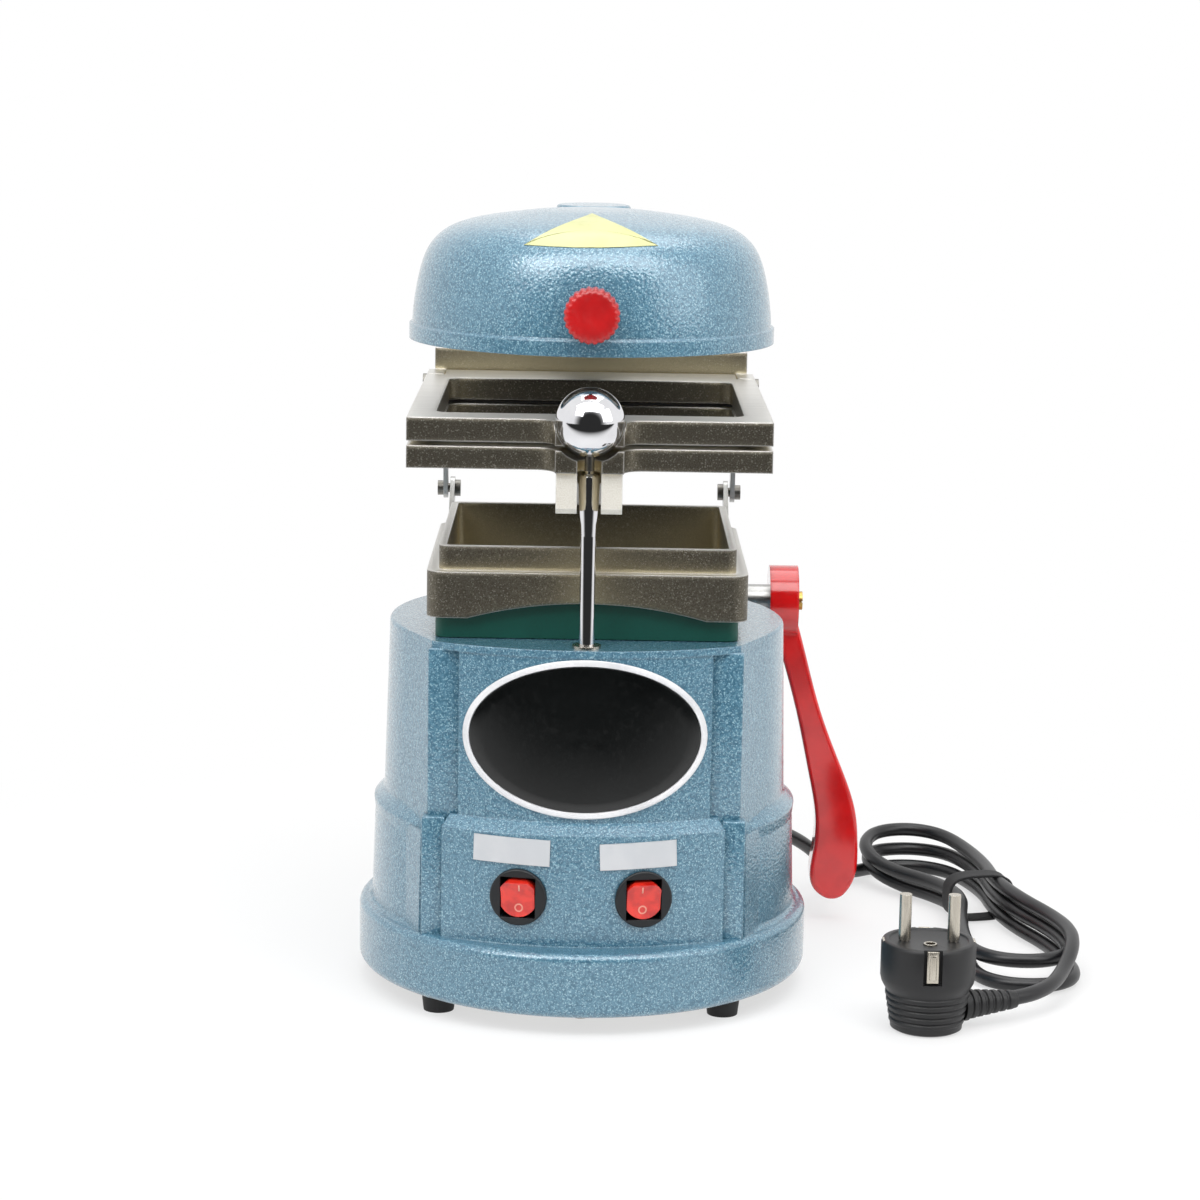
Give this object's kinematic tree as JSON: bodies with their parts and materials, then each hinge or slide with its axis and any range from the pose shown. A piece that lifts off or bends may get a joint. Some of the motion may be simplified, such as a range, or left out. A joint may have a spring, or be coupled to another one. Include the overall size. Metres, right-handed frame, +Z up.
{
  "type": "dental vacuum former",
  "caption": "Benchtop dental vacuum former: a hammertone base with motor, a heater dome on a column, and clamping frames that a red side lever lowers over a square forming chamber.",
  "frame": {"origin": "on the table under the axis of the round base, at the centre of the four feet", "axes": "+Z up, -Y towards the front with the switches and the clamp ball, +X towards the lever"},
  "size_m": [0.2983, 0.2633, 0.312],
  "materials": {
    "hammer_blue": "hammertone paint, semi-gloss, fine light and dark speckle",
    "cast_alloy": "machined casting, satin nickel-like sheen",
    "steel_plate": "bright sheet steel",
    "bright_steel": "ground bright bar",
    "chrome": "polished chrome",
    "screw_steel": "zinc plated, slightly dull",
    "brass": "turned brass",
    "red_enamel": "cast alloy under glossy red enamel",
    "red_plastic": "moulded, satin gloss",
    "rocker_red": "translucent red, glossy",
    "bezel_black": "moulded black, satin",
    "badge": "black face with a white rim, glossy",
    "label": "pale grey printed film, blank",
    "green_gasket": "dark green moulded rubber",
    "seal_rubber": "black rubber",
    "foot_rubber": "black moulded rubber",
    "cord_black": "black flexible sheath, slight sheen",
    "motor_body": "pressed housing, satin",
    "fan_grey": "moulded, matt",
    "heater_sheath": "heat-darkened sheath",
    "ceramic": "white glazed ceramic"
  },
  "bodies": {
    "base": {"badge_plate": "badge", "base_housing": "hammer_blue", "bottom_plate": "steel_plate", "chamber_gasket": "green_gasket", "chamber_screws": "screw_steel", "column": "bright_steel", "column_nut": "screw_steel", "cord_gland": "bezel_black", "cord_hank": "cord_black", "cord_tail": "cord_black", "cord_tie": "cord_black", "forming_chamber": "cast_alloy", "hub_collar": "bright_steel", "label_left": "label", "label_right": "label", "motor_seal": "seal_rubber", "perforated_plate": "steel_plate", "plate_screws": "screw_steel", "plug_body": "cord_black", "plug_pins": "brass", "power_cord": "cord_black", "rod_bush": "brass", "rubber_feet": "foot_rubber", "shaft_bushes": "brass", "switch_body_left": "bezel_black", "switch_body_right": "bezel_black", "vacuum_motor": "motor_body"},
    "fan": {"motor_fan": "fan_grey"},
    "head": {"heater_dome": "hammer_blue", "reflector": "steel_plate", "heating_element": "heater_sheath", "ceramic_posts": "ceramic", "head_knob": "red_plastic", "knob_screw": "screw_steel"},
    "carriage": {"lower_frame": "cast_alloy", "carriage_bush": "brass", "sheet_seal": "seal_rubber", "clamp_fork": "steel_plate", "fork_screws": "screw_steel", "guide_rod": "chrome", "hinge_screws": "screw_steel"},
    "upper": {"upper_frame": "cast_alloy"},
    "clamp": {"clamp_ball": "chrome", "clamp_stud": "screw_steel"},
    "lever": {"cross_shaft": "bright_steel", "lever": "red_enamel", "lever_screw": "brass", "crank_left": "bright_steel", "crank_right": "bright_steel", "crank_pin_left": "screw_steel", "crank_pin_right": "screw_steel"},
    "link_left": {"link_left": "bright_steel", "link_rivet_left": "screw_steel"},
    "link_right": {"link_right": "bright_steel", "link_rivet_right": "screw_steel"},
    "rocker_left": {"rocker_left": "rocker_red"},
    "rocker_right": {"rocker_right": "rocker_red"}
  },
  "joints": [
    {"name": "frame_slide", "type": "slide", "parent": "base", "child": "carriage", "axis": [0, 0, -1], "range_m": [0, 0.0418]},
    {"name": "lever_turn", "type": "hinge", "parent": "base", "child": "lever", "pos_m": [0, 0.084, 0.141], "axis": [1, 0, 0], "range_deg": [-38.3, 0]},
    {"name": "link_left_turn", "type": "hinge", "parent": "lever", "child": "link_left", "pos_m": [-0.063, 0.126, 0.1814], "axis": [1, 0, 0], "range_deg": [0, 66.6]},
    {"name": "link_right_turn", "type": "hinge", "parent": "lever", "child": "link_right", "pos_m": [0.063, 0.126, 0.1814], "axis": [1, 0, 0], "range_deg": [0, 66.6]},
    {"name": "upper_frame_hinge", "type": "hinge", "parent": "carriage", "child": "upper", "pos_m": [0, 0.091, 0.232], "axis": [1, 0, 0], "range_deg": [-3.5, 0]},
    {"name": "clamp_knob_turn", "type": "hinge", "parent": "upper", "child": "clamp", "pos_m": [0, -0.074, 0.2364], "axis": [0, 0, 1], "continuous": true},
    {"name": "head_swivel", "type": "hinge", "parent": "base", "child": "head", "pos_m": [0, 0.117, 0.28], "axis": [0, 0, 1], "range_deg": [-110, 110]},
    {"name": "rocker_left_tilt", "type": "hinge", "parent": "base", "child": "rocker_left", "pos_m": [-0.02398, -0.074, 0.0523], "axis": [0.9786, -0.2059, 0], "range_deg": [-18, 0]},
    {"name": "rocker_right_tilt", "type": "hinge", "parent": "base", "child": "rocker_right", "pos_m": [0.02281, -0.07425, 0.0523], "axis": [0.9806, 0.1958, 0], "range_deg": [-18, 0]},
    {"name": "fan_spin", "type": "hinge", "parent": "base", "child": "fan", "pos_m": [0, 0.0075, 0.103], "axis": [0, 0, 1], "continuous": true}
  ],
  "couplings": [
    {"joint": "lever_turn", "follows": "frame_slide", "rad_per_m": -15.934},
    {"joint": "link_left_turn", "follows": "frame_slide", "rad_per_m": 27.703},
    {"joint": "link_right_turn", "follows": "frame_slide", "rad_per_m": 27.703}
  ]
}
